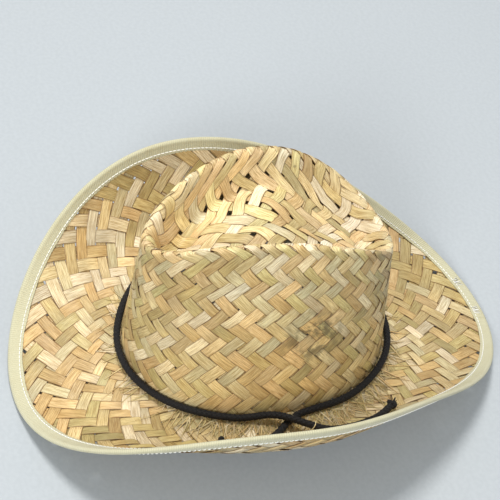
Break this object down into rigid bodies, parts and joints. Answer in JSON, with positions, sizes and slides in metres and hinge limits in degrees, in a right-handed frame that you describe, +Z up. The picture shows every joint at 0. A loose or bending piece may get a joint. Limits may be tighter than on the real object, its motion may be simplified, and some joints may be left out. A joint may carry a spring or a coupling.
{
  "type": "woven straw western hat",
  "caption": "Western-style straw hat: dented oval crown, brim curled up at the sides with a bound edge, and a knotted cord round the crown.",
  "frame": {"origin": "bottom centre of the hat's box, on the plane that the front and back of the brim rest on", "axes": "+Z up through the crown, -Y the way the wearer faces, +X the wearer's left"},
  "size_m": [0.2834, 0.3812, 0.1711],
  "materials": {
    "straw": "natural straw strips in a two-over, two-under twill, dull with a slight sheen along each strip",
    "binding_tape": "cream ribbed tape",
    "binding_thread": "white sewing thread",
    "wire": "plain drawn wire",
    "cord": "black round braid",
    "tack": "pale thread",
    "sweatband_cloth": "plain woven cotton band"
  },
  "bodies": {
    "root": {"crown_tip": "straw", "crown_wall": "straw", "brim": "straw", "edge_binding": "binding_tape", "brim_wire": "wire", "wire_sleeve": "wire", "binding_thread_upper": "binding_thread", "binding_thread_under": "binding_thread", "binding_lap_tack": "binding_thread", "hat_cord": "cord", "cord_knot_back": "cord", "cord_knot_front": "cord", "cord_tack": "tack", "sweatband": "sweatband_cloth", "sweatband_thread": "binding_thread", "sweatband_joint": "sweatband_cloth"}
  },
  "joints": []
}
